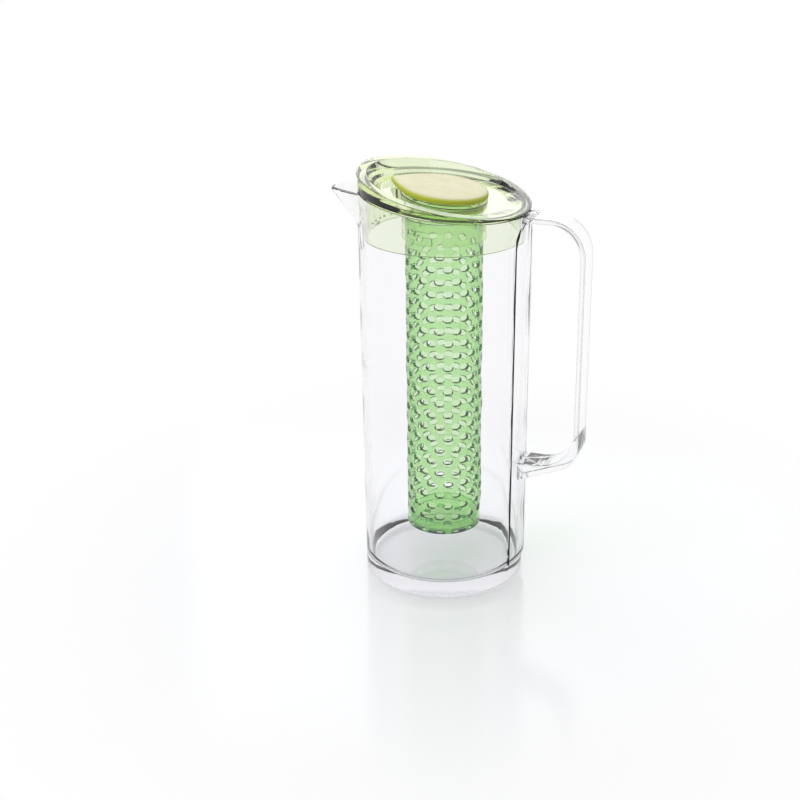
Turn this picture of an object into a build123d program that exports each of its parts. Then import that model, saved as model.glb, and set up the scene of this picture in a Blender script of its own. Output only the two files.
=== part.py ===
from build123d import *
import math
import os

# Fruit infuser pitcher. Millimetres, +Z up, origin at the centre of the base's underside.
# +X points to the handle and -X to the spout. Heights of slanted faces are given on the jug's axis.

# Jug
jug_rim_radius = 55.0
jug_taper = 1.0
jug_wall = 3.0
jug_floor = 10.0
jug_foot_fillet = 3.0
jug_corner_fillet = 7.0
rim_height = 261.2
rim_tilt = 6.4
rim_rounding = 0.9

# Spout
spout_reach = 22.1
spout_half_angle = 37.0
spout_depth = 26.0
spout_dip = 8.0
spout_tip_radius = 6.0
spout_keel_radius = 20.0
spout_wall = 2.4
spout_foot_setback = 0.5
lip_rounding = 0.7

# Handle and the pad that it is joined to
handle_reach = 40.5
handle_width = 20.5
handle_thickness = 3.4
handle_below_flange = 0.4
handle_bottom = 75.5
handle_arm_slope = 21.8
handle_root_height = 12.7
handle_top_bend = 24.0
handle_bottom_bend = 20.0
handle_window_bend = 26.0
handle_edge_rounding = 1.1
handle_root_fillet = 9.0
handle_foot_fillet = 4.0
pad_width = 34.0
pad_thickness = 1.6
pad_bottom = 14.0
pad_drop = 9.7

# Lid
skirt_clearance = 0.7
skirt_wall = 2.3
skirt_depth = 24.2
flange_tilt = 11.31
flange_thickness = 1.4
flange_overhang = 0.3
flange_edge_rounding = 0.4
wedge_thin_edge = 0.55
wedge_inset = 0.4
seat_gap = 0.1
dish_depth = 1.8
dish_radius = 40.0
dish_foot_fillet = 3.0
dish_floor_thickness = 1.5
collar_rise = 2.2

# Pour slots in the lid's skirt
pour_slot_count = 9
pour_slot_width = 3.0
pour_slot_pitch = 7.4
pour_slot_rise = 3.0
pour_slot_height = 15.0

# Socket and bayonet
socket_wall = 1.9
socket_clearance = 0.4
socket_depth = 24.7
bayonet_count = 3
bayonet_turn = 40.0
lug_angle = 12.0
lug_height = 3.0
lug_rise = 5.0
lug_reach = 1.4
lug_clearance = 0.4

# Infuser basket and base
infuser_radius = 25.0
infuser_wall = 1.8
infuser_floor_gap = 24.0
infuser_engagement = 13.5
infuser_neck = 20.0
hole_columns = 14
hole_width = 6.2
hole_height = 4.2
hole_pitch = 8.3
hole_margin = 9.9
base_thickness = 2.6
base_spigot_height = 5.0
base_spigot_wall = 1.6
base_spigot_clearance = 0.1
base_notch_count = 14
base_notch_width = 3.6
base_notch_depth = 1.4
base_notch_reach = 1.8
base_hole_count = 6
base_hole_radius = 3.0
base_hole_circle = 13.0

# Stopper
knob_radius = 28.0
knob_tip_reach = 36.0
knob_side_radius = 70.0
knob_tip_rounding = 1.5
knob_thickness = 3.7
knob_edge_rounding = 1.0
plug_clearance = 0.6
plug_wall = 2.0
plug_rise = 2.4
seal_ring_width = 2.4
seal_ring_depth = 1.2
seal_ring_stand = 0.3
seal_ring_rise = 1.8

# Room beyond the finished faces for cutters and for blanks that are trimmed later
cut_overrun = 1.0
blank_spare = 30.0
touch_tolerance = 0.0001


def drop(tilt):
    """Fall of a slanted face per millimetre towards the handle."""
    return math.tan(math.radians(tilt))


# Sizes that follow from the ones above
jug_base_radius = jug_rim_radius - jug_taper
pad_top = rim_height - pad_drop
lid_radius = jug_rim_radius + flange_overhang
skirt_radius = jug_rim_radius - jug_wall - skirt_clearance
skirt_inner_radius = skirt_radius - skirt_wall
skirt_bottom = rim_height - skirt_depth
wedge_radius = jug_rim_radius - wedge_inset
wedge_bottom = rim_height + seat_gap
flange_bottom = wedge_bottom + wedge_thin_edge + lid_radius * (drop(flange_tilt) - drop(rim_tilt))
flange_top = flange_bottom + flange_thickness
dish_floor = flange_top - dish_depth - skirt_inner_radius * (drop(flange_tilt) - drop(rim_tilt))
collar_top = dish_floor + collar_rise
socket_inner_radius = infuser_radius + socket_clearance
socket_radius = socket_inner_radius + socket_wall
socket_bottom = rim_height - socket_depth
lug_bottom = socket_bottom + lug_rise
infuser_inner_radius = infuser_radius - infuser_wall
infuser_top = socket_bottom + infuser_engagement
base_bottom = jug_floor + infuser_floor_gap
infuser_bottom = base_bottom + base_thickness
hole_first_row = infuser_bottom + hole_margin
hole_rows = int((infuser_top - infuser_neck - hole_first_row) / hole_pitch) + 1
knob_bottom = collar_top + seat_gap
knob_top = knob_bottom + knob_thickness
plug_radius = socket_inner_radius - plug_clearance
plug_bottom = infuser_top + plug_rise
seal_ring_bottom = plug_bottom + seal_ring_rise
handle_top = flange_bottom - lid_radius * drop(flange_tilt) - handle_below_flange
spout_ridge = -jug_rim_radius * math.cos(math.radians(spout_half_angle))
blank_low = -blank_spare
blank_high = rim_height + (jug_rim_radius + spout_reach) * drop(flange_tilt) + blank_spare


def slanted(height, tilt):
    """Plane that crosses the axis at a height and rises towards the spout by the tilt."""
    angle = math.radians(tilt)
    along = (math.cos(angle), 0, -math.sin(angle))
    normal = (math.sin(angle), 0, math.cos(angle))
    return Plane(origin=(0, 0, height), x_dir=along, z_dir=normal)


def below(solid, plane):
    return split(solid, bisect_by=plane, keep=Keep.BOTTOM)


def above(solid, plane):
    return split(solid, bisect_by=plane, keep=Keep.TOP)


def tube(outer, inner, low, high):
    return extrude(Plane.XY.offset(low) * (Circle(outer) - Circle(inner)), high - low)


def disc(radius, low, high):
    return extrude(Plane.XY.offset(low) * Circle(radius), high - low)


def slanted_ring(outer, inner, low_plane, high_plane):
    return below(above(tube(outer, inner, blank_low, blank_high), low_plane), high_plane)


def turned(profile_points):
    """Upright half section from radius and height pairs."""
    return Plane.XZ * make_face(Polyline(*profile_points, close=True))


def jug_radius(height):
    """Outer radius of the jug, which tapers a little towards the base."""
    return jug_base_radius + (jug_rim_radius - jug_base_radius) * height / rim_height


def jug_solid():
    """The jug's outside, filled."""
    profile = turned([(0, 0), (jug_base_radius, 0), (jug_radius(blank_high), blank_high), (0, blank_high)])
    foot = profile.vertices().filter_by_position(Axis.X, jug_base_radius, jug_base_radius)
    return revolve(fillet(foot, jug_foot_fillet), axis=Axis.Z)


def jug_cavity():
    """The jug's inside, filled."""
    floor_radius = jug_radius(jug_floor) - jug_wall
    mouth_radius = jug_radius(blank_high) - jug_wall
    profile = turned([(0, jug_floor), (floor_radius, jug_floor), (mouth_radius, blank_high), (0, blank_high)])
    corner = profile.vertices().filter_by_position(Axis.X, floor_radius, floor_radius)
    return revolve(fillet(corner, jug_corner_fillet), axis=Axis.Z)


def spout_section(height, root_radius, tip_reach, tip_radius):
    """Level slice of the spout: a round tip and the two lines from it to the jug's side."""
    angle = math.radians(spout_half_angle)
    root_x = -root_radius * math.cos(angle)
    root_y = root_radius * math.sin(angle)
    centre_x = tip_radius - tip_reach
    distance = math.hypot(centre_x - root_x, root_y)
    heading = math.atan2(-root_y, centre_x - root_x) - math.asin(tip_radius / distance)
    length = math.sqrt(distance**2 - tip_radius**2)
    touch_x = root_x + length * math.cos(heading)
    touch_y = root_y + length * math.sin(heading)
    sides = Polyline((touch_x, -touch_y), (root_x, -root_y), (root_x, root_y), (touch_x, touch_y))
    tip = ThreePointArc((touch_x, touch_y), (-tip_reach, 0), (touch_x, -touch_y))
    return Plane.XY.offset(height) * make_face(sides + tip)


def spout_head_reach():
    """Reach of the tip at the top of the blank, where the keel has gone on past the lip."""
    growth = spout_reach / spout_depth
    return jug_rim_radius + spout_reach + growth * (blank_high - rim_height)


def spout_outside():
    """The spout from its keel's foot to above the lip, filled."""
    keel_height = rim_height - spout_depth
    foot = spout_section(keel_height, jug_rim_radius, jug_radius(keel_height), spout_keel_radius)
    head = spout_section(blank_high, jug_rim_radius, spout_head_reach(), spout_tip_radius)
    return loft([foot, head], ruled=True)


def spout_inside():
    """The spout's hollow, which starts just inside the jug's wall."""
    keel_height = rim_height - spout_depth
    root = jug_radius(keel_height) - jug_wall
    foot = spout_section(keel_height, root, root - spout_foot_setback, spout_keel_radius - jug_wall)
    head = spout_section(blank_high, root, spout_head_reach() - spout_wall, spout_tip_radius - spout_wall)
    return loft([foot, head], ruled=True)


def handle_pad():
    """Raised strip on the jug's wall with an arched top, where the handle is joined."""
    skin = turned(
        [
            (jug_base_radius - jug_wall / 2, 0),
            (jug_base_radius + pad_thickness, 0),
            (jug_rim_radius + pad_thickness, rim_height),
            (jug_rim_radius - jug_wall / 2, rim_height),
        ]
    )
    half = pad_width / 2
    arch = Polyline((-half, pad_top - half), (-half, pad_bottom), (half, pad_bottom), (half, pad_top - half))
    crown = ThreePointArc((half, pad_top - half), (0, pad_top), (-half, pad_top - half))
    window = extrude(Plane.YZ * make_face(arch + crown), jug_rim_radius + handle_reach)
    return revolve(skin, axis=Axis.Z) & window


def edges_on(solid, plane):
    """The edges longer than two walls that lie on a plane, the shortest first."""
    edges = [edge for edge in solid.edges() if edge.length > 2 * jug_wall]
    flush = [edge for edge in edges if all(lies_on(edge @ share, plane) for share in (0, 0.5, 1))]
    return sorted(flush, key=lambda edge: edge.length)


def lies_on(point, plane):
    return abs(plane.to_local_coords(point).Z) < touch_tolerance


def make_jug_body():
    rim_plane = slanted(rim_height, rim_tilt)
    ridge_height = rim_height - spout_ridge * drop(rim_tilt)
    lip_plane = Plane(
        origin=(spout_ridge, 0, ridge_height),
        x_dir=(math.cos(math.radians(spout_dip)), 0, math.sin(math.radians(spout_dip))),
        z_dir=(-math.sin(math.radians(spout_dip)), 0, math.cos(math.radians(spout_dip))),
    )
    cavity = jug_cavity()
    hollow = spout_inside()
    wall = below(jug_solid() + handle_pad() - cavity, rim_plane)
    spout = below(spout_outside() - hollow - cavity, lip_plane)
    inner_rim_edge = edges_on(wall, rim_plane)[0]
    wall = fillet(inner_rim_edge, rim_rounding)
    spout = fillet(edges_on(spout, lip_plane), lip_rounding)
    return wall - hollow + spout


def rounded_outline(corners):
    """Face through side view points, each with the radius of its corner or 0."""
    outline = make_face(Polyline(*[(x, z) for x, z, radius in corners], close=True))
    for x, z, radius in corners:
        if radius > 0:
            outline = fillet(outline.vertices().sort_by_distance((x, z))[0], radius)
    return outline


def handle_outside():
    """Side view of the handle, filled: a level top, an upright grip and an arm that thickens towards the jug."""
    outer_x = jug_rim_radius + handle_reach
    rise = math.tan(math.radians(handle_arm_slope))
    return rounded_outline(
        [
            (0, handle_bottom - rise * jug_rim_radius, 0),
            (outer_x, handle_bottom + rise * handle_reach, handle_bottom_bend),
            (outer_x, handle_top, handle_top_bend),
            (0, handle_top, 0),
        ]
    )


def handle_window():
    """Side view of the gap for the fingers, which starts inside the jug's wall."""
    root_x = math.sqrt(jug_base_radius**2 - (handle_width / 2) ** 2)
    inner_x = jug_rim_radius + handle_reach - handle_thickness
    low = handle_bottom + handle_root_height
    high = handle_top - handle_thickness
    return rounded_outline(
        [
            (root_x, low, handle_foot_fillet),
            (inner_x, low, handle_window_bend),
            (inner_x, high, handle_top_bend - handle_thickness),
            (root_x, high, handle_root_fillet),
        ]
    )


def make_handle():
    strap = extrude(Plane.XZ * (handle_outside() - handle_window()), handle_width / 2, both=True)
    rims = strap.faces().sort_by(Axis.Y)
    strap = fillet(rims[0].edges() + rims[-1].edges(), handle_edge_rounding)
    return strap - jug_solid() - handle_pad()


def make_lid_rim():
    """Outer ring of the lid: the slanted flange, the wedge under it and the skirt with its pour slots."""
    top_plane = slanted(flange_top, flange_tilt)
    under_plane = slanted(flange_bottom, flange_tilt)
    skirt = below(tube(skirt_radius, skirt_inner_radius, skirt_bottom, blank_high), top_plane)
    flange = slanted_ring(lid_radius, skirt_inner_radius, under_plane, top_plane)
    outer_edges = [edges_on(flange, plane)[-1] for plane in (under_plane, top_plane)]
    flange = fillet(outer_edges, flange_edge_rounding)
    wedge = slanted_ring(wedge_radius, skirt_inner_radius, slanted(wedge_bottom, rim_tilt), under_plane)
    return skirt + flange + wedge - pour_slots()


def dish_outline(share):
    """Outline of the dish, from its floor at share 0 up the sloping wall to the flange at share 1."""
    radius = dish_radius + share * (skirt_inner_radius - dish_radius)
    height = dish_floor + share * (flange_top - dish_floor)
    floor_fall = dish_radius * drop(rim_tilt)
    flange_fall = skirt_inner_radius * drop(flange_tilt)
    tilt = math.atan((floor_fall + share * (flange_fall - floor_fall)) / radius)
    return slanted(height, math.degrees(tilt)) * Ellipse(radius / math.cos(tilt), radius)


def make_lid_dish():
    """Inner moulding of the lid: the floor, the wall that slopes up to the flange, and the socket."""
    floor_plane = slanted(dish_floor, rim_tilt)
    underside = slanted(dish_floor - dish_floor_thickness, rim_tilt)
    blank = slanted_ring(skirt_inner_radius, socket_inner_radius, underside, slanted(flange_top, flange_tilt))
    past_flange = 1 + cut_overrun / (skirt_inner_radius - dish_radius)
    dish = blank - loft([dish_outline(0), dish_outline(past_flange)], ruled=True)
    dish = fillet(edges_on(dish, floor_plane)[-1], dish_foot_fillet)
    collar_plane = slanted(collar_top, rim_tilt)
    socket = below(tube(socket_radius, socket_inner_radius, socket_bottom, blank_high), collar_plane)
    return dish + socket - bayonet_slots()


def pour_slots():
    """Row of upright slots through the skirt on the spout side."""
    length = skirt_wall + 2 * cut_overrun
    middle_radius = skirt_radius - skirt_wall / 2
    middle_height = skirt_bottom + pour_slot_rise + pour_slot_height / 2
    slots = []
    for index in range(pour_slot_count):
        angle = 180 + (index - (pour_slot_count - 1) / 2) * pour_slot_pitch
        place = Rot(0, 0, angle) * Pos(middle_radius, 0, middle_height)
        slots.append(place * Box(length, pour_slot_width, pour_slot_height))
    return slots


def ring_sector(outer, inner, low, high, start, sweep):
    """Piece of a ring from a start angle through a sweep, both in degrees."""
    half = make_face(Polyline((inner, low), (outer, low), (outer, high), (inner, high), close=True))
    return Rot(0, 0, start) * revolve(Plane.XZ * half, axis=Axis.Z, revolution_arc=sweep)


def lug_start(index):
    return index * 360.0 / bayonet_count - lug_angle / 2


def bayonet_slots():
    """L-shaped slots in the socket: an upright way in and a level run that carries the lug."""
    spare = math.degrees(lug_clearance / socket_radius)
    outer = socket_radius + cut_overrun
    inner = socket_inner_radius - cut_overrun
    mouth = socket_bottom - cut_overrun
    level_low = lug_bottom - seat_gap
    level_high = lug_bottom + lug_height + lug_clearance
    slots = []
    for index in range(bayonet_count):
        start = lug_start(index) - spare
        lug_sweep = lug_angle + 2 * spare
        slots.append(ring_sector(outer, inner, level_low, level_high, start, lug_sweep + bayonet_turn))
        way_in = start + bayonet_turn
        slots.append(ring_sector(outer, inner, mouth, level_high, way_in, lug_sweep))
    return slots


def basket_holes():
    """Radial cutters for the holes, in rows that are staggered by half a step."""
    cut_depth = infuser_wall + 2 * cut_overrun
    cut_middle = infuser_radius - infuser_wall / 2
    step = 360.0 / hole_columns
    holes = []
    for row in range(hole_rows):
        height = hole_first_row + row * hole_pitch
        stagger = step / 2 * (row % 2)
        for column in range(hole_columns):
            place = Rot(0, 0, column * step + stagger) * Pos(cut_middle, 0, height)
            holes.append(place * Box(cut_depth, hole_width, hole_height))
    return holes


def make_infuser_basket():
    wall = tube(infuser_radius, infuser_inner_radius, infuser_bottom, infuser_top)
    basket = wall - basket_holes()
    for index in range(bayonet_count):
        top = lug_bottom + lug_height
        reach = infuser_radius + lug_reach
        basket += ring_sector(reach, infuser_radius - infuser_wall / 2, lug_bottom, top, lug_start(index), lug_angle)
    return basket


def make_infuser_base():
    spigot_radius = infuser_inner_radius - base_spigot_clearance
    spigot_top = infuser_bottom + base_spigot_height
    base = disc(infuser_radius, base_bottom, infuser_bottom)
    base += tube(spigot_radius, spigot_radius - base_spigot_wall, infuser_bottom, spigot_top)
    cutters = []
    for index in range(base_notch_count):
        place = Rot(0, 0, index * 360.0 / base_notch_count)
        middle = (infuser_radius, 0, infuser_bottom - base_notch_depth / 2)
        cutters.append(place * Pos(*middle) * Box(2 * base_notch_reach, base_notch_width, base_notch_depth))
    for index in range(base_hole_count):
        place = Rot(0, 0, index * 360.0 / base_hole_count) * Pos(base_hole_circle, 0, base_bottom + base_thickness / 2)
        cutters.append(place * Cylinder(base_hole_radius, base_thickness + 2 * cut_overrun))
    return base - cutters


def knob_outline():
    """Leaf shape: a round end on the socket's axis and two long arcs that meet at the tip."""
    side_offset = knob_side_radius - knob_radius
    cosine = (knob_side_radius**2 - side_offset**2 - knob_tip_reach**2) / (2 * knob_tip_reach * side_offset)
    joint_angle = math.acos(cosine)
    joint_x = -knob_radius * math.cos(joint_angle)
    joint_y = knob_radius * math.sin(joint_angle)
    tip = (-knob_tip_reach, 0)
    round_end = ThreePointArc((joint_x, joint_y), (knob_radius, 0), (joint_x, -joint_y))
    upper = RadiusArc(tip, (joint_x, joint_y), knob_side_radius)
    lower = RadiusArc((joint_x, -joint_y), tip, knob_side_radius)
    outline = make_face(round_end + upper + lower)
    point = outline.vertices().sort_by(Axis.X)[0]
    return fillet(point, knob_tip_rounding)


def make_stopper_knob():
    blank = extrude(Plane.XY.offset(skirt_bottom) * knob_outline(), blank_high - skirt_bottom)
    plate = below(above(blank, slanted(knob_bottom, rim_tilt)), slanted(knob_top, rim_tilt))
    crown = plate.faces().sort_by(Axis.Z)[-1]
    return fillet(crown.edges(), knob_edge_rounding)


def make_stopper_plug():
    top_plane = slanted(knob_bottom, rim_tilt)
    cup = below(disc(plug_radius, plug_bottom, blank_high), top_plane)
    roof_plane = slanted(knob_bottom - plug_wall, rim_tilt)
    hollow = below(disc(plug_radius - plug_wall, plug_bottom, blank_high), roof_plane)
    groove_top = seal_ring_bottom + seal_ring_width
    groove = tube(plug_radius + cut_overrun, plug_radius - seal_ring_depth, seal_ring_bottom, groove_top)
    return cup - hollow - groove


def make_stopper_seal():
    outer = socket_inner_radius - seal_ring_stand
    inner = plug_radius - seal_ring_depth
    return tube(outer, inner, seal_ring_bottom, seal_ring_bottom + seal_ring_width)


pieces = {
    "jug_body": make_jug_body(),
    "handle": make_handle(),
    "lid_rim": make_lid_rim(),
    "lid_dish": make_lid_dish(),
    "infuser_basket": make_infuser_basket(),
    "infuser_base": make_infuser_base(),
    "stopper_knob": make_stopper_knob(),
    "stopper_plug": make_stopper_plug(),
    "stopper_seal": make_stopper_seal(),
}

os.makedirs("parts", exist_ok=True)
for name, piece in pieces.items():
    export_step(piece, f"parts/{name}.step")
    print(name, "solids", len(piece.solids()), "volume", round(piece.volume))
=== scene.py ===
import math

import bmesh
import bpy
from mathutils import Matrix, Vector


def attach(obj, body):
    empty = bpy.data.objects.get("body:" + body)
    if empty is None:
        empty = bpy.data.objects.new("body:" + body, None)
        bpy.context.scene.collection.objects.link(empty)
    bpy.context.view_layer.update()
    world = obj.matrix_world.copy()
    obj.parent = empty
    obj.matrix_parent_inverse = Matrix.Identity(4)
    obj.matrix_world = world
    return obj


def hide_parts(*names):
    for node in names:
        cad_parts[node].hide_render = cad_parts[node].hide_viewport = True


# Fruit infuser pitcher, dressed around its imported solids. Metres, +Z up, +X to the handle.
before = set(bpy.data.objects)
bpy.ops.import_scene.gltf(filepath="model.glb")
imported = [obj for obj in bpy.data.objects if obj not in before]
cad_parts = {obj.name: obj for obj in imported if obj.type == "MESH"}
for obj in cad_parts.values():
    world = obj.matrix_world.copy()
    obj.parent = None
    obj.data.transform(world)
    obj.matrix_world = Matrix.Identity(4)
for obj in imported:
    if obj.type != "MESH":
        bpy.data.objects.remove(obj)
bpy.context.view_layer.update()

MM = 0.001
WELD = 2e-6
SHARP = math.radians(32)

# Infuser basket, as in the solids
BASKET_RADIUS = 25.0 * MM
BASKET_WALL = 1.8 * MM
BASKET_BOTTOM = 36.6 * MM
BASKET_TOP = 250.0 * MM
HOLE_COLUMNS = 14
HOLE_ROWS = 23
HOLE_PITCH = 8.3 * MM
HOLE_FIRST_ROW = 46.5 * MM
HOLE_HALF_WIDTH = 3.1 * MM
HOLE_HALF_HEIGHT = 2.1 * MM
HOLE_FLARE = 0.3 * MM
HOLE_FULLNESS = 2.3
SIDE_POINTS = 6
EDGE_ROUNDING = 0.5 * MM
LUG_BOTTOM = 241.5 * MM
LUG_HEIGHT = 3.0 * MM
LUG_REACH = 1.4 * MM
LUG_HALF_ANGLE = math.radians(6)
LUG_COUNT = 3

# Lid, as in the solids; slants are falls towards the handle per metre
RIM_SLANT = math.tan(math.radians(6.4))
FLANGE_SLANT = math.tan(math.radians(11.31))
LID_RADIUS = 55.3 * MM
SKIRT_OUT = 51.3 * MM
SKIRT_IN = 49.0 * MM
SKIRT_BOTTOM = 237.0 * MM
WEDGE_RADIUS = 54.6 * MM
WEDGE_BOTTOM = 261.3 * MM
FLANGE_BOTTOM = WEDGE_BOTTOM + 0.55 * MM + LID_RADIUS * (FLANGE_SLANT - RIM_SLANT)
FLANGE_TOP = FLANGE_BOTTOM + 1.4 * MM
DISH_RADIUS = 40.0 * MM
DISH_FLOOR = FLANGE_TOP - 1.8 * MM - SKIRT_IN * (FLANGE_SLANT - RIM_SLANT)
DISH_UNDERSIDE = DISH_FLOOR - 1.5 * MM
COLLAR_TOP = DISH_FLOOR + 2.2 * MM
SOCKET_OUT = 27.3 * MM
SOCKET_IN = 25.4 * MM
SOCKET_BOTTOM = 236.5 * MM
SLOT_LOW = 240.0 * MM
SLOT_HIGH = 255.0 * MM
SLOT_COUNT = 9
SLOT_PITCH = 7.4
SLOT_HALF_ANGLE = math.degrees(1.5 * MM / SKIRT_OUT)
BAYONET_LOW = 241.4 * MM
BAYONET_HIGH = 244.9 * MM
BAYONET_START = -6.84
BAYONET_TURN = 40.0
BAYONET_SWEEP = 13.68
KNOB_RADIUS = 28.0 * MM
KNOB_TIP_REACH = 35.8 * MM
KNOB_SIDE_RADIUS = 70.0 * MM
KNOB_THICKNESS = 3.7 * MM
KNOB_TOP = COLLAR_TOP + 0.1 * MM + KNOB_THICKNESS
KNOB_LIME_FALL = 1.1 * MM
KNOB_CREAM_FALL = 0.04 * MM

# Steps of rounded corners, of a full turn, and of the knob's round end and sides
ROUND_STEPS = 4
LIP_STEPS = 3
TURN_STEPS = 144
LINE_CLEARANCE = 0.9
KNOB_END_STEPS = 60
KNOB_SIDE_STEPS = 12

# Finishes: scales of the noise, and depths of what it raises
NOISE_LOW = 0.3
NOISE_HIGH = 0.7
CLEAR_CLOUD_SCALE = 55
CLEAR_ROUGHNESS = 0.035
FLOW_SCALE = 34
FLOW_STRETCH = (1, 1, 0.22)
FLOW_DEPTH = 0.6 * MM
RUBBER_CLOUD_SCALE = 40
RUBBER_GRAIN_DEPTH = 0.1 * MM
KNOB_CLOUD_SCALE = 30
KNOB_GRAIN_SCALE = 120
KNOB_ROUGHNESS = (0.26, 0.34)
KNOB_SHINE = 0.3


def linear(red, green, blue):
    """Colour of a finish, from the 0 to 255 steps of a colour chart."""
    steps = [channel / 255 for channel in (red, green, blue)]
    return tuple(s / 12.92 if s <= 0.04045 else ((s + 0.055) / 1.055) ** 2.4 for s in steps)


def shaded(mesh_work, name):
    """Mesh from a bmesh with smooth faces, sharp where two faces meet at an angle."""
    for face in mesh_work.faces:
        face.smooth = True
    for edge in mesh_work.edges:
        edge.smooth = len(edge.link_faces) == 2 and edge.calc_face_angle(0) < SHARP
    mesh = bpy.data.meshes.new(name)
    mesh_work.to_mesh(mesh)
    mesh_work.free()
    return mesh


def add_piece(mesh, body, nodes, material):
    """Put a finished mesh in the scene on its body, in place of the solids that it stands for."""
    piece = bpy.data.objects.new(mesh.name, mesh)
    bpy.context.scene.collection.objects.link(piece)
    mesh.materials.clear()
    mesh.materials.append(material)
    even = piece.modifiers.new("even_shading", "WEIGHTED_NORMAL")
    even.keep_sharp = True
    even.weight = 50
    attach(piece, body)
    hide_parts(*nodes)
    return piece


def welded_copy(name, *nodes):
    """Smooth copy of some solids, with the seams between their triangles closed."""
    work = bmesh.new()
    for node in nodes:
        work.from_mesh(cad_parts[node].data)
    bmesh.ops.remove_doubles(work, verts=work.verts, dist=WELD)
    mesh = shaded(work, name)
    if "custom_normal" in mesh.attributes:
        mesh.attributes.remove(mesh.attributes["custom_normal"])
    return mesh


# Materials


def new_material(name):
    """Empty node material, with its nodes and links."""
    material = bpy.data.materials.new(name)
    material.use_nodes = True
    nodes = material.node_tree.nodes
    nodes.clear()
    return material, nodes, material.node_tree.links


def sums(nodes, links, operation, first, second):
    """Math node on two values, each a number or another node's output."""
    node = nodes.new("ShaderNodeMath")
    node.operation = operation
    for socket, value in zip(node.inputs, (first, second)):
        if isinstance(value, (int, float)):
            socket.default_value = value
        else:
            links.new(value, socket)
    return node.outputs[0]


def noise(nodes, links, scale, detail, stretch=(1, 1, 1)):
    """Noise on the piece's own coordinates, drawn out along an axis by the stretch."""
    place = nodes.new("ShaderNodeTexCoord")
    mapping = nodes.new("ShaderNodeMapping")
    mapping.inputs["Scale"].default_value = stretch
    grain = nodes.new("ShaderNodeTexNoise")
    grain.inputs["Scale"].default_value = scale
    grain.inputs["Detail"].default_value = detail
    links.new(place.outputs["Object"], mapping.inputs["Vector"])
    links.new(mapping.outputs["Vector"], grain.inputs["Vector"])
    return grain.outputs["Fac"]


def spread(nodes, links, value, low, high):
    """Noise value mapped to a range."""
    ranged = nodes.new("ShaderNodeMapRange")
    ranged.inputs["From Min"].default_value = NOISE_LOW
    ranged.inputs["From Max"].default_value = NOISE_HIGH
    ranged.inputs["To Min"].default_value = low
    ranged.inputs["To Max"].default_value = high
    links.new(value, ranged.inputs["Value"])
    return ranged.outputs["Result"]


def bumped(nodes, links, value, strength, distance):
    """Surface direction that a noise value raises and lowers."""
    bump = nodes.new("ShaderNodeBump")
    bump.inputs["Strength"].default_value = strength
    bump.inputs["Distance"].default_value = distance
    links.new(value, bump.inputs["Height"])
    return bump.outputs["Normal"]


def moulded_clear(name, index, tint, absorbs, density, lamp_tint, ripple):
    """Clear moulded plastic: a tint for each wall and one by depth, with soft flow ripples.

    Its gloss is a little uneven, and lamps shine through it with their own tint.
    """
    material, nodes, links = new_material(name)
    shader = nodes.new("ShaderNodeBsdfPrincipled")
    shader.inputs["Base Color"].default_value = (*tint, 1)
    shader.inputs["Transmission Weight"].default_value = 1
    shader.inputs["IOR"].default_value = index
    cloud = noise(nodes, links, CLEAR_CLOUD_SCALE, 3)
    links.new(spread(nodes, links, cloud, 0, CLEAR_ROUGHNESS), shader.inputs["Roughness"])
    flow = noise(nodes, links, FLOW_SCALE, 1, FLOW_STRETCH)
    links.new(bumped(nodes, links, flow, ripple, FLOW_DEPTH), shader.inputs["Normal"])
    lamp_way = nodes.new("ShaderNodeBsdfTransparent")
    lamp_way.inputs["Color"].default_value = (*lamp_tint, 1)
    rays = nodes.new("ShaderNodeLightPath")
    mix = nodes.new("ShaderNodeMixShader")
    links.new(rays.outputs["Is Shadow Ray"], mix.inputs["Fac"])
    links.new(shader.outputs["BSDF"], mix.inputs[1])
    links.new(lamp_way.outputs["BSDF"], mix.inputs[2])
    depth = nodes.new("ShaderNodeVolumeAbsorption")
    depth.inputs["Color"].default_value = (*absorbs, 1)
    depth.inputs["Density"].default_value = density
    out = nodes.new("ShaderNodeOutputMaterial")
    links.new(mix.outputs["Shader"], out.inputs["Surface"])
    links.new(depth.outputs["Volume"], out.inputs["Volume"])
    return material


def solid_finish(name, base, worn, grain_scale, gloss_low, gloss_high, bump_strength):
    """Opaque finish whose colour and gloss vary a little over the surface."""
    material, nodes, links = new_material(name)
    shader = nodes.new("ShaderNodeBsdfPrincipled")
    cloud = noise(nodes, links, RUBBER_CLOUD_SCALE, 4)
    colour = nodes.new("ShaderNodeMix")
    colour.data_type = "RGBA"
    colour.inputs["A"].default_value = (*base, 1)
    colour.inputs["B"].default_value = (*worn, 1)
    links.new(spread(nodes, links, cloud, 0, 1), colour.inputs["Factor"])
    links.new(colour.outputs["Result"], shader.inputs["Base Color"])
    grain = noise(nodes, links, grain_scale, 2)
    links.new(spread(nodes, links, grain, gloss_low, gloss_high), shader.inputs["Roughness"])
    raised = bumped(nodes, links, grain, bump_strength, RUBBER_GRAIN_DEPTH)
    links.new(raised, shader.inputs["Normal"])
    out = nodes.new("ShaderNodeOutputMaterial")
    links.new(shader.outputs["BSDF"], out.inputs["Surface"])
    return material


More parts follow.
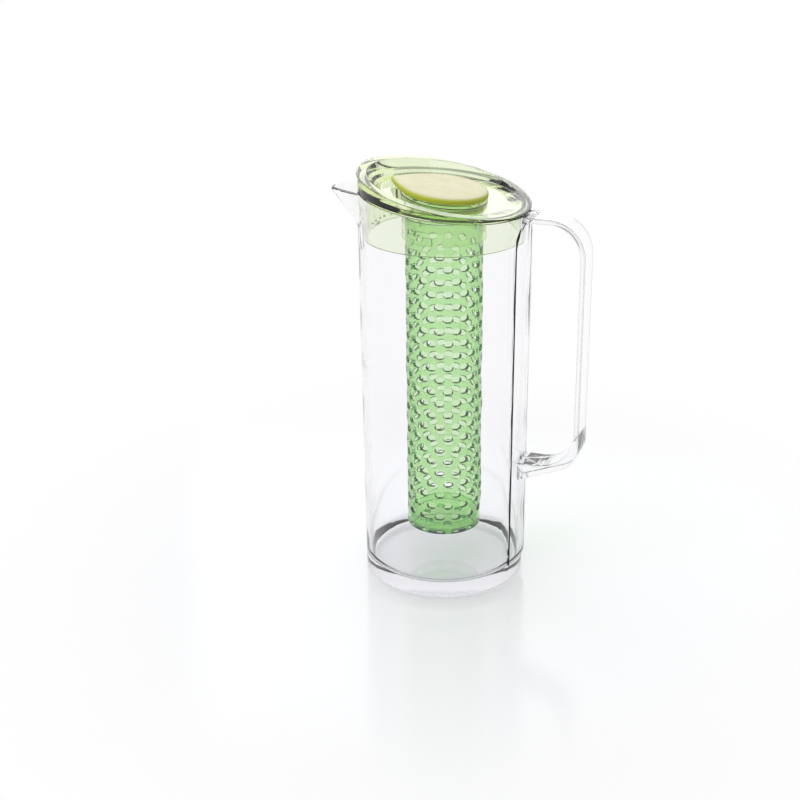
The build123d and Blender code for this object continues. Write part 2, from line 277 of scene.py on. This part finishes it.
def two_tone(name):
    """Knob plastic: cream on the slanted top face, lime over the rounded edge and below."""
    material, nodes, links = new_material(name)
    shader = nodes.new("ShaderNodeBsdfPrincipled")
    place = nodes.new("ShaderNodeTexCoord")
    parts = nodes.new("ShaderNodeSeparateXYZ")
    links.new(place.outputs["Object"], parts.inputs[0])
    slant = sums(nodes, links, "MULTIPLY", parts.outputs["X"], RIM_SLANT)
    level = sums(nodes, links, "ADD", parts.outputs["Z"], slant)
    top = nodes.new("ShaderNodeMapRange")
    top.interpolation_type = "SMOOTHSTEP"
    top.inputs["From Min"].default_value = KNOB_TOP - KNOB_LIME_FALL
    top.inputs["From Max"].default_value = KNOB_TOP - KNOB_CREAM_FALL
    links.new(level, top.inputs["Value"])
    cloud = spread(nodes, links, noise(nodes, links, KNOB_CLOUD_SCALE, 3), 0, 1)
    tones = []
    lime = linear(186, 194, 62), linear(176, 186, 54)
    cream = linear(213, 209, 166), linear(208, 202, 152)
    for tone, other in (lime, cream):
        mixed = nodes.new("ShaderNodeMix")
        mixed.data_type = "RGBA"
        mixed.inputs["A"].default_value = (*tone, 1)
        mixed.inputs["B"].default_value = (*other, 1)
        links.new(cloud, mixed.inputs["Factor"])
        tones.append(mixed.outputs["Result"])
    colour = nodes.new("ShaderNodeMix")
    colour.data_type = "RGBA"
    links.new(top.outputs["Result"], colour.inputs["Factor"])
    links.new(tones[0], colour.inputs["A"])
    links.new(tones[1], colour.inputs["B"])
    links.new(colour.outputs["Result"], shader.inputs["Base Color"])
    grain = noise(nodes, links, KNOB_GRAIN_SCALE, 2)
    links.new(spread(nodes, links, grain, *KNOB_ROUGHNESS), shader.inputs["Roughness"])
    shader.inputs["Specular IOR Level"].default_value = KNOB_SHINE
    out = nodes.new("ShaderNodeOutputMaterial")
    links.new(shader.outputs["BSDF"], out.inputs["Surface"])
    return material


clear_plastic = moulded_clear(
    "clear_plastic",
    index=1.49,
    tint=(0.977, 0.975, 0.986),
    absorbs=(0.6, 0.6, 0.7),
    density=3,
    lamp_tint=(0.97, 0.97, 0.98),
    ripple=0.02,
)
lid_plastic = moulded_clear(
    "lid_plastic",
    index=1.46,
    tint=(0.875, 0.93, 0.785),
    absorbs=(0.82, 0.95, 0.2),
    density=22,
    lamp_tint=(0.93, 0.96, 0.84),
    ripple=0.015,
)
infuser_plastic = moulded_clear(
    "infuser_plastic",
    index=1.49,
    tint=(0.97, 0.99, 0.95),
    absorbs=(0.4, 0.82, 0.14),
    density=300,
    lamp_tint=(0.74, 0.90, 0.64),
    ripple=0.015,
)
milky_rubber = solid_finish(
    "milky_rubber",
    base=linear(222, 224, 214),
    worn=linear(208, 212, 202),
    grain_scale=900,
    gloss_low=0.4,
    gloss_high=0.55,
    bump_strength=0.1,
)
knob_finish = two_tone("knob_finish")


# Infuser basket: one curved tile of wall with an oval hole, repeated over the tube


def tile_outline():
    """Boundary of the tile in half steps, counter-clockwise from the middle of its right side."""
    level = [1 - 2 * i / SIDE_POINTS for i in range(SIDE_POINTS + 1)]
    top = [(x, 1) for x in level]
    bottom = [(-x, -1) for x in level]
    return [(1, 0), *top, (-1, 0), *bottom]


def oval(share):
    """Point of the hole's outline, from -1 to 1 both ways."""
    angle = 2 * math.pi * share
    power = 2 / HOLE_FULLNESS
    x, y = math.cos(angle), math.sin(angle)
    return math.copysign(abs(x) ** power, x), math.copysign(abs(y) ** power, y)


def on_wall(radius, angle, height):
    """Point at a radius, an angle round the axis and a height."""
    return radius * math.cos(angle), radius * math.sin(angle), height


def tile_mesh():
    """Tile of wall, from its outer face through the hole to its inner face."""
    outline = tile_outline()
    count = len(outline)
    half_step = math.pi / HOLE_COLUMNS
    inner = BASKET_RADIUS - BASKET_WALL
    work = bmesh.new()
    rings = []
    for radius, flare, edge in (
        (BASKET_RADIUS, None, True),
        (BASKET_RADIUS, HOLE_FLARE, False),
        (inner, 0.0, False),
        (inner, None, True),
    ):
        ring = []
        for i, (u, v) in enumerate(outline):
            if edge:
                point = on_wall(radius, u * half_step, v * HOLE_PITCH / 2)
            else:
                x, y = oval(i / count)
                wide = (HOLE_HALF_WIDTH + flare) * x / BASKET_RADIUS
                point = on_wall(radius, wide, (HOLE_HALF_HEIGHT + flare) * y)
            ring.append(work.verts.new(point))
        rings.append(ring)
    for ring, after in zip(rings, rings[1:]):
        for i in range(count):
            j = (i + 1) % count
            work.faces.new((ring[i], ring[j], after[j], after[i]))
    mesh = bpy.data.meshes.new("basket_tile")
    work.to_mesh(mesh)
    work.free()
    return mesh


def hole_field_tree():
    """Geometry Nodes tree that repeats a wall tile round a tube, every other row half a step on."""
    tree = bpy.data.node_groups.new("hole_field", "GeometryNodeTree")
    tree.is_modifier = True
    sockets = {}
    tree.interface.new_socket("Tile", in_out="INPUT", socket_type="NodeSocketGeometry")
    for label, kind in (
        ("Columns", "NodeSocketInt"),
        ("Rows", "NodeSocketInt"),
        ("Row Pitch", "NodeSocketFloat"),
        ("First Row", "NodeSocketFloat"),
        ("Weld", "NodeSocketFloat"),
        ("Finish", "NodeSocketMaterial"),
    ):
        socket = tree.interface.new_socket(label, in_out="INPUT", socket_type=kind)
        sockets[label] = socket.identifier
    tree.interface.new_socket("Wall", in_out="OUTPUT", socket_type="NodeSocketGeometry")
    nodes, links = tree.nodes, tree.links
    given = nodes.new("NodeGroupInput").outputs
    result = nodes.new("NodeGroupOutput")
    index = nodes.new("GeometryNodeInputIndex").outputs[0]
    columns = given["Columns"]
    row = sums(nodes, links, "FLOOR", sums(nodes, links, "DIVIDE", index, columns), 0)
    column = sums(nodes, links, "MODULO", index, columns)
    odd = sums(nodes, links, "MODULO", row, 2)
    place = sums(nodes, links, "ADD", column, sums(nodes, links, "MULTIPLY", odd, 0.5))
    share = sums(nodes, links, "DIVIDE", place, columns)
    turn = sums(nodes, links, "MULTIPLY", share, 2 * math.pi)
    climb = sums(nodes, links, "MULTIPLY", row, given["Row Pitch"])
    rise = sums(nodes, links, "ADD", climb, given["First Row"])
    height = nodes.new("ShaderNodeCombineXYZ")
    links.new(rise, height.inputs["Z"])
    spin = nodes.new("ShaderNodeCombineXYZ")
    links.new(turn, spin.inputs["Z"])
    turned = nodes.new("FunctionNodeEulerToRotation")
    links.new(spin.outputs[0], turned.inputs[0])
    points = nodes.new("GeometryNodePoints")
    links.new(sums(nodes, links, "MULTIPLY", columns, given["Rows"]), points.inputs["Count"])
    links.new(height.outputs[0], points.inputs["Position"])
    copies = nodes.new("GeometryNodeInstanceOnPoints")
    links.new(points.outputs[0], copies.inputs["Points"])
    links.new(given["Tile"], copies.inputs["Instance"])
    links.new(turned.outputs[0], copies.inputs["Rotation"])
    real = nodes.new("GeometryNodeRealizeInstances")
    links.new(copies.outputs[0], real.inputs[0])
    weld = nodes.new("GeometryNodeMergeByDistance")
    links.new(real.outputs[0], weld.inputs["Geometry"])
    links.new(given["Weld"], weld.inputs["Distance"])
    finish = nodes.new("GeometryNodeSetMaterial")
    links.new(weld.outputs[0], finish.inputs["Geometry"])
    links.new(given["Finish"], finish.inputs["Material"])
    links.new(finish.outputs[0], result.inputs[0])
    return tree, sockets


def hole_field():
    """Plain mesh of the basket's perforated wall."""
    tree, sockets = hole_field_tree()
    maker = bpy.data.objects.new("basket_field", tile_mesh())
    bpy.context.scene.collection.objects.link(maker)
    repeat = maker.modifiers.new("repeat", "NODES")
    repeat.node_group = tree
    for label, value in (
        ("Columns", HOLE_COLUMNS),
        ("Rows", HOLE_ROWS),
        ("Row Pitch", HOLE_PITCH),
        ("First Row", HOLE_FIRST_ROW),
        ("Weld", 10 * WELD),
        ("Finish", infuser_plastic),
    ):
        repeat[sockets[label]] = value
    bpy.context.view_layer.update()
    graph = bpy.context.evaluated_depsgraph_get()
    mesh = bpy.data.meshes.new_from_object(maker.evaluated_get(graph))
    maker.modifiers.clear()
    bpy.data.objects.remove(maker)
    return mesh


def band(work, outline):
    """Turned band through radius and height pairs, with the points that the tiles' edges have."""
    count = HOLE_COLUMNS * SIDE_POINTS
    rings = []
    for radius, height in outline:
        ring = []
        for i in range(count):
            angle = 2 * math.pi * (i / count) - math.pi / HOLE_COLUMNS
            ring.append(work.verts.new(on_wall(radius, angle, height)))
        rings.append(ring)
    for ring, after in zip(rings, rings[1:]):
        for i in range(count):
            j = (i + 1) % count
            work.faces.new((ring[i], ring[j], after[j], after[i]))


def rounded_lip(end, inward):
    """Outer to inner wall over an end with rounded edges; inward is 1 at the top, -1 below."""
    inner = BASKET_RADIUS - BASKET_WALL
    lip = []
    for step in range(LIP_STEPS + 1):
        angle = math.pi / 2 * step / LIP_STEPS
        fall = EDGE_ROUNDING * (1 - math.sin(angle))
        lip.append((BASKET_RADIUS - EDGE_ROUNDING * (1 - math.cos(angle)), end - inward * fall))
    back = [(inner + BASKET_RADIUS - radius, height) for radius, height in reversed(lip)]
    return lip + back


def add_lug(work, middle):
    """Bayonet lug on the basket's neck."""
    corners = []
    for radius in (BASKET_RADIUS, BASKET_RADIUS + LUG_REACH):
        for height in (LUG_BOTTOM, LUG_BOTTOM + LUG_HEIGHT):
            for side in (-1, -0.33, 0.33, 1):
                angle = middle + side * LUG_HALF_ANGLE
                corners.append(work.verts.new(on_wall(radius, angle, height)))
    for i in range(3):
        for a, b, c, d in ((0, 4, 5, 1), (8, 9, 13, 12), (0, 1, 9, 8), (4, 12, 13, 5)):
            work.faces.new((corners[a + i], corners[b + i], corners[c + i], corners[d + i]))
    work.faces.new((corners[0], corners[8], corners[12], corners[4]))
    work.faces.new((corners[3], corners[7], corners[15], corners[11]))


def basket_mesh():
    """Perforated wall with a plain band and a rounded lip at each end, and the lugs."""
    field_bottom = HOLE_FIRST_ROW - HOLE_PITCH / 2
    field_top = field_bottom + HOLE_ROWS * HOLE_PITCH
    inner = BASKET_RADIUS - BASKET_WALL
    work = bmesh.new()
    work.from_mesh(hole_field())
    head = rounded_lip(BASKET_TOP, 1)
    foot = list(reversed(rounded_lip(BASKET_BOTTOM, -1)))
    band(work, [(BASKET_RADIUS, field_top), *head, (inner, field_top)])
    band(work, [(inner, field_bottom), *foot, (BASKET_RADIUS, field_bottom)])
    bmesh.ops.remove_doubles(work, verts=work.verts, dist=10 * WELD)
    bmesh.ops.recalc_face_normals(work, faces=work.faces)
    for i in range(LUG_COUNT):
        add_lug(work, 2 * math.pi * i / LUG_COUNT)
    return shaded(work, "basket_tube")


# Lid: one section carried round the axis, with heights that follow the slanted planes

# name, radius, height on the axis, slant, rounding in millimetres
LID_SECTION = (
    ("skirt_foot_in", SKIRT_IN, SKIRT_BOTTOM, 0, 0.5),
    ("skirt_foot_out", SKIRT_OUT, SKIRT_BOTTOM, 0, 0.5),
    ("slot_low_out", SKIRT_OUT, SLOT_LOW, 0, 0),
    ("slot_high_out", SKIRT_OUT, SLOT_HIGH, 0, 0),
    ("skirt_head", SKIRT_OUT, WEDGE_BOTTOM, RIM_SLANT, 0),
    ("wedge_foot", WEDGE_RADIUS, WEDGE_BOTTOM, RIM_SLANT, 0.25),
    ("wedge_head", WEDGE_RADIUS, FLANGE_BOTTOM, FLANGE_SLANT, 0),
    ("flange_low", LID_RADIUS, FLANGE_BOTTOM, FLANGE_SLANT, 0.3),
    ("flange_high", LID_RADIUS, FLANGE_TOP, FLANGE_SLANT, 0.6),
    ("flange_in", SKIRT_IN, FLANGE_TOP, FLANGE_SLANT, 1.5),
    ("dish_foot", DISH_RADIUS, DISH_FLOOR, RIM_SLANT, 3.0),
    ("collar_foot", SOCKET_OUT, DISH_FLOOR, RIM_SLANT, 0.4),
    ("collar_out", SOCKET_OUT, COLLAR_TOP, RIM_SLANT, 0.4),
    ("collar_in", SOCKET_IN, COLLAR_TOP, RIM_SLANT, 0.4),
    ("run_high_in", SOCKET_IN, BAYONET_HIGH, 0, 0),
    ("run_low_in", SOCKET_IN, BAYONET_LOW, 0, 0),
    ("socket_foot_in", SOCKET_IN, SOCKET_BOTTOM, 0, 0),
    ("socket_foot_out", SOCKET_OUT, SOCKET_BOTTOM, 0, 0),
    ("run_low_out", SOCKET_OUT, BAYONET_LOW, 0, 0),
    ("run_high_out", SOCKET_OUT, BAYONET_HIGH, 0, 0),
    ("under_in", SOCKET_OUT, DISH_UNDERSIDE, RIM_SLANT, 0.5),
    ("under_out", SKIRT_IN, DISH_UNDERSIDE, RIM_SLANT, 0.8),
    ("slot_high_in", SKIRT_IN, SLOT_HIGH, 0, 0),
    ("slot_low_in", SKIRT_IN, SLOT_LOW, 0, 0),
)


def rounded_section(angle):
    """The lid's section at an angle, as radius and height pairs, with its corners rounded."""
    points = []
    for _, radius, height, slant, _ in LID_SECTION:
        points.append(Vector((radius, height - slant * radius * math.cos(angle))))
    section = []
    for i, (_, _, _, _, rounding) in enumerate(LID_SECTION):
        corner, before, after = points[i], points[i - 1], points[(i + 1) % len(points)]
        if not rounding:
            section.append(corner)
            continue
        back, on = before - corner, after - corner
        half = back.angle(on) / 2
        run = min(rounding * MM / math.tan(half), 0.45 * back.length, 0.45 * on.length)
        start, end = corner + back.normalized() * run, corner + on.normalized() * run
        for step in range(ROUND_STEPS + 1):
            share = step / ROUND_STEPS
            near, bend, far = (1 - share) ** 2, 2 * share * (1 - share), share**2
            section.append(start * near + corner * bend + end * far)
    return section


def section_places():
    """Where each named corner starts in the rounded section."""
    places, at = {}, 0
    for name, _, _, _, rounding in LID_SECTION:
        places[name] = at
        at += ROUND_STEPS + 1 if rounding else 1
    return places


def slot_spans():
    """Start and end of each pour slot, in degrees."""
    middles = [180 + (i - (SLOT_COUNT - 1) / 2) * SLOT_PITCH for i in range(SLOT_COUNT)]
    return [(middle - SLOT_HALF_ANGLE, middle + SLOT_HALF_ANGLE) for middle in middles]


def bayonet_spans():
    """Spans of the level runs, and of the ways in at their far ends, in degrees."""
    starts = [BAYONET_START + i * 360 / LUG_COUNT for i in range(LUG_COUNT)]
    runs = [(start, start + BAYONET_TURN + BAYONET_SWEEP) for start in starts]
    ways = [(start + BAYONET_TURN, start + BAYONET_TURN + BAYONET_SWEEP) for start in starts]
    return runs, ways


def turn_lines(spans):
    """Angles of the section's copies in degrees: even steps, plus both ends of every span."""
    ends = sorted({round(end % 360, 6) for span in spans for end in span})
    even = [360 * i / TURN_STEPS for i in range(TURN_STEPS)]
    clear = []
    for line in even:
        if all(abs((line - end + 180) % 360 - 180) > LINE_CLEARANCE for end in ends):
            clear.append(line)
    return sorted(ends + clear)


def cells_in(spans, lines):
    """Cells between two lines whose middle lies in a span."""
    found = set()
    for i, line in enumerate(lines):
        middle = line + ((lines[(i + 1) % len(lines)] - line) % 360) / 2
        if any((middle - start) % 360 < end - start for start, end in spans):
            found.add(i)
    return found


def lid_mesh():
    """Closed lid: copies of the section joined up, with the slots and the bayonet left open."""
    runs, ways = bayonet_spans()
    slots = slot_spans()
    lines = turn_lines(slots + runs + ways)
    count = len(lines)
    places = section_places()
    work = bmesh.new()
    rings = []
    for line in lines:
        angle = math.radians(line)
        section = rounded_section(angle)
        rings.append([work.verts.new(on_wall(radius, angle, height)) for radius, height in section])
    # Each band of wall that has cut-outs: its cells, its four corners, and the section's
    # runs that are left out there
    bands = (
        (
            cells_in(slots, lines),
            ("slot_low_in", "slot_low_out", "slot_high_out", "slot_high_in"),
            ("slot_low_out", "slot_high_in"),
        ),
        (
            cells_in(runs, lines),
            ("run_low_in", "run_low_out", "run_high_out", "run_high_in"),
            ("run_low_out", "run_high_in"),
        ),
        (
            cells_in(ways, lines),
            ("socket_foot_in", "socket_foot_out", "run_low_out", "run_low_in"),
            ("run_low_in", "socket_foot_in", "socket_foot_out"),
        ),
    )
    left_out = {(i, places[name]) for cells, _, names in bands for i in cells for name in names}
    size = len(rings[0])
    for i in range(count):
        here, there = rings[i], rings[(i + 1) % count]
        for k in range(size):
            if (i, k) not in left_out:
                m = (k + 1) % size
                work.faces.new((here[k], there[k], there[m], here[m]))
    for cells, corners, _ in bands:
        low_in, low_out, high_out, high_in = (places[name] for name in corners)
        for i in range(count):
            here, there = rings[i], rings[(i + 1) % count]
            if (i in cells) != ((i - 1) % count in cells):
                work.faces.new((here[low_in], here[low_out], here[high_out], here[high_in]))
            if i not in cells:
                continue
            way_in = corners[0] == "socket_foot_in"
            over_way_in = corners[0] == "run_low_in" and i in bands[2][0]
            if not (way_in or over_way_in):
                work.faces.new((here[low_in], there[low_in], there[low_out], here[low_out]))
            if not way_in:
                work.faces.new((here[high_in], here[high_out], there[high_out], there[high_in]))
    bmesh.ops.recalc_face_normals(work, faces=work.faces)
    return shaded(work, "lid_shell")


# Knob: a leaf outline, drawn in and raised in rings to a soft pillow top

# inset from the outline and fall below the top, in millimetres
KNOB_RINGS = (
    (0.3, 3.7),
    (0.0, 3.4),
    (0.0, 1.9),
    (0.1, 1.35),
    (0.45, 0.85),
    (1.1, 0.47),
    (2.2, 0.25),
    (4.2, 0.12),
    (8.0, 0.04),
    (15.0, 0.0),
)


def leaf_outline():
    """Round end and two flatter sides that meet in a tip, as points counter-clockwise."""
    offset = KNOB_SIDE_RADIUS - KNOB_RADIUS
    cosine = KNOB_SIDE_RADIUS**2 - offset**2 - KNOB_TIP_REACH**2
    cosine /= 2 * KNOB_TIP_REACH * offset
    joint = math.pi - math.acos(cosine)
    points = []
    for step in range(KNOB_END_STEPS + 1):
        angle = joint * (2 * step / KNOB_END_STEPS - 1)
        points.append((KNOB_RADIUS * math.cos(angle), KNOB_RADIUS * math.sin(angle)))
    middle = (-offset * math.cos(joint), -offset * math.sin(joint))
    end = math.atan2(-middle[1], -KNOB_TIP_REACH - middle[0])
    side = []
    for step in range(1, KNOB_SIDE_STEPS + 1):
        angle = joint + (end - joint) * step / KNOB_SIDE_STEPS
        x, y = KNOB_SIDE_RADIUS * math.cos(angle), KNOB_SIDE_RADIUS * math.sin(angle)
        side.append((middle[0] + x, middle[1] + y))
    return points + side + [(x, -y) for x, y in reversed(side[:-1])]


def knob_mesh():
    """Leaf-shaped knob, tilted with the dish."""
    outline = leaf_outline()
    work = bmesh.new()
    rings = []
    for inset, fall in KNOB_RINGS:
        share = 1 - inset * MM / KNOB_RADIUS
        level = KNOB_TOP - fall * MM
        drawn = [(x * share, y * share) for x, y in outline]
        rings.append([work.verts.new((x, y, level - x * RIM_SLANT)) for x, y in drawn])
    count = len(outline)
    for ring, after in zip(rings, rings[1:]):
        for i in range(count):
            j = (i + 1) % count
            work.faces.new((ring[i], ring[j], after[j], after[i]))
    work.faces.new(rings[-1])
    work.faces.new(list(reversed(rings[0])))
    return shaded(work, "leaf_knob")


# Pieces

jug = welded_copy("jug_clear", "jug_body")
strap = welded_copy("handle_strap", "handle")
foot = welded_copy("basket_foot", "infuser_base")
cup = welded_copy("stopper_cup", "stopper_plug")
ring = welded_copy("stopper_ring", "stopper_seal")
add_piece(jug, "jug", ["jug_body"], clear_plastic)
add_piece(strap, "jug", ["handle"], clear_plastic)
add_piece(lid_mesh(), "lid", ["lid_rim", "lid_dish"], lid_plastic)
add_piece(basket_mesh(), "infuser", ["infuser_basket"], infuser_plastic)
add_piece(foot, "infuser", ["infuser_base"], infuser_plastic)
add_piece(knob_mesh(), "stopper", ["stopper_knob"], knob_finish)
add_piece(cup, "stopper", ["stopper_plug"], lid_plastic)
add_piece(ring, "stopper", ["stopper_seal"], milky_rubber)


# Stage

FLOOR_RADIUS = 0.42
FLOOR_DROP = 0.3 * MM
FLOOR_COLOUR = (0.92, 0.92, 0.935)
FLOOR_ROUGHNESS = 0.16
FLOOR_GLOW = 0.11
FLOOR_FADE = (0.1, 0.38)
CEILING_EDGE = (0.5, 0.8)
CEILING_GREY = (0.36, 0.37, 0.39)
ROOM_COLOUR = (0.98, 0.99, 1)
ROOM_LIGHT = 0.55
CAMERA_PLACE = (0.302, -0.830, 0.4994)
CAMERA_AIM = (0, 0, 0.1215)
CAMERA_LENS = 64.65
CAMERA_SENSOR = 36
CAMERA_SHIFT = -0.0553
CLEAR_BOUNCES = 32
INNER_REFLECTIONS = 4

# name, place, target, size, power, whether it lights matt surfaces
LAMPS = (
    ("soft_top", (-0.2, 0.0, 1.1), (0, 0, 0.15), (1.2, 1.2), 4.4, True),
    ("soft_left", (-0.8, -0.8, 0.8), (0, 0, 0.15), (0.7, 0.8), 3.0, True),
    ("soft_back", (-0.3, 1.1, 0.72), (0, 0, 0.27), (1.0, 0.5), 1.9, False),
)


def floor_material():
    """White table with a soft sheen, which turns to plain white towards its edge."""
    material, nodes, links = new_material("white_table")
    shader = nodes.new("ShaderNodeBsdfPrincipled")
    shader.inputs["Base Color"].default_value = (*FLOOR_COLOUR, 1)
    shader.inputs["Roughness"].default_value = FLOOR_ROUGHNESS
    shader.inputs["Emission Color"].default_value = (1, 1, 1, 1)
    shader.inputs["Emission Strength"].default_value = FLOOR_GLOW
    place = nodes.new("ShaderNodeTexCoord")
    reach = nodes.new("ShaderNodeVectorMath")
    reach.operation = "LENGTH"
    links.new(place.outputs["Object"], reach.inputs[0])
    fade = nodes.new("ShaderNodeMapRange")
    fade.interpolation_type = "SMOOTHSTEP"
    fade.inputs["From Min"].default_value = FLOOR_FADE[0]
    fade.inputs["From Max"].default_value = FLOOR_FADE[1]
    links.new(reach.outputs["Value"], fade.inputs["Value"])
    white = nodes.new("ShaderNodeEmission")
    white.inputs["Strength"].default_value = 1
    mix = nodes.new("ShaderNodeMixShader")
    links.new(fade.outputs["Result"], mix.inputs["Fac"])
    links.new(shader.outputs["BSDF"], mix.inputs[1])
    links.new(white.outputs["Emission"], mix.inputs[2])
    out = nodes.new("ShaderNodeOutputMaterial")
    links.new(mix.outputs["Shader"], out.inputs["Surface"])
    return material


def add_floor():
    """Round table top just under the jug."""
    work = bmesh.new()
    bmesh.ops.create_circle(work, cap_ends=True, segments=96, radius=FLOOR_RADIUS)
    bmesh.ops.translate(work, verts=work.verts, vec=(0, 0, -FLOOR_DROP))
    mesh = bpy.data.meshes.new("table_top")
    work.to_mesh(mesh)
    work.free()
    mesh.materials.append(floor_material())
    table = bpy.data.objects.new("table_top", mesh)
    bpy.context.scene.collection.objects.link(table)


def add_world():
    """White all round for the camera; gloss and clear plastic also show a grey ceiling."""
    world = bpy.data.worlds.new("white_studio")
    bpy.context.scene.world = world
    world.use_nodes = True
    nodes, links = world.node_tree.nodes, world.node_tree.links
    nodes.clear()
    rays = nodes.new("ShaderNodeLightPath").outputs
    place = nodes.new("ShaderNodeTexCoord")
    parts = nodes.new("ShaderNodeSeparateXYZ")
    links.new(place.outputs["Generated"], parts.inputs[0])
    ceiling = nodes.new("ShaderNodeMapRange")
    ceiling.interpolation_type = "SMOOTHSTEP"
    ceiling.inputs["From Min"].default_value = CEILING_EDGE[0]
    ceiling.inputs["From Max"].default_value = CEILING_EDGE[1]
    links.new(parts.outputs["Z"], ceiling.inputs["Value"])
    unseen = sums(nodes, links, "SUBTRACT", 1, rays["Is Camera Ray"])
    colour = nodes.new("ShaderNodeMix")
    colour.data_type = "RGBA"
    colour.inputs["A"].default_value = (1, 1, 1, 1)
    colour.inputs["B"].default_value = (*CEILING_GREY, 1)
    shade = sums(nodes, links, "MULTIPLY", ceiling.outputs["Result"], unseen)
    links.new(shade, colour.inputs["Factor"])
    seen = nodes.new("ShaderNodeBackground")
    links.new(colour.outputs["Result"], seen.inputs["Color"])
    light = nodes.new("ShaderNodeBackground")
    light.inputs["Color"].default_value = (*ROOM_COLOUR, 1)
    light.inputs["Strength"].default_value = ROOM_LIGHT
    shown = sums(nodes, links, "ADD", rays["Is Camera Ray"], rays["Is Glossy Ray"])
    shown = sums(nodes, links, "ADD", shown, rays["Is Transmission Ray"])
    shown = sums(nodes, links, "MINIMUM", shown, 1)
    mix = nodes.new("ShaderNodeMixShader")
    links.new(shown, mix.inputs["Fac"])
    links.new(light.outputs[0], mix.inputs[1])
    links.new(seen.outputs[0], mix.inputs[2])
    out = nodes.new("ShaderNodeOutputWorld")
    links.new(mix.outputs[0], out.inputs["Surface"])


def add_lamp(name, place, target, size, power, lights_matt):
    """Soft rectangular lamp, which isn't seen through clear plastic."""
    data = bpy.data.lights.new(name, "AREA")
    data.shape = "RECTANGLE"
    data.size, data.size_y = size
    data.energy = power
    lamp = bpy.data.objects.new(name, data)
    lamp.visible_transmission = False
    lamp.visible_diffuse = lights_matt
    lamp.location = place
    lamp.rotation_mode = "QUATERNION"
    lamp.rotation_quaternion = (Vector(target) - Vector(place)).to_track_quat("-Z", "Y")
    bpy.context.scene.collection.objects.link(lamp)


def add_camera():
    """Camera at the photograph's viewing angle."""
    data = bpy.data.cameras.new("photo_camera")
    data.lens = CAMERA_LENS
    data.sensor_width = CAMERA_SENSOR
    data.shift_x = CAMERA_SHIFT
    camera = bpy.data.objects.new("photo_camera", data)
    camera.location = CAMERA_PLACE
    aim = Vector(CAMERA_AIM) - camera.location
    camera.rotation_mode = "QUATERNION"
    camera.rotation_quaternion = aim.to_track_quat("-Z", "Y")
    data.clip_start = 0.01
    bpy.context.scene.collection.objects.link(camera)
    bpy.context.scene.camera = camera


add_floor()
add_world()
for lamp in LAMPS:
    add_lamp(*lamp)
add_camera()
bpy.context.scene.view_settings.view_transform = "Standard"
# Few inner reflections, so that the lid's wedge reads dark along the rim
bpy.context.scene.cycles.max_bounces = CLEAR_BOUNCES
bpy.context.scene.cycles.glossy_bounces = INNER_REFLECTIONS
bpy.context.scene.cycles.transmission_bounces = CLEAR_BOUNCES
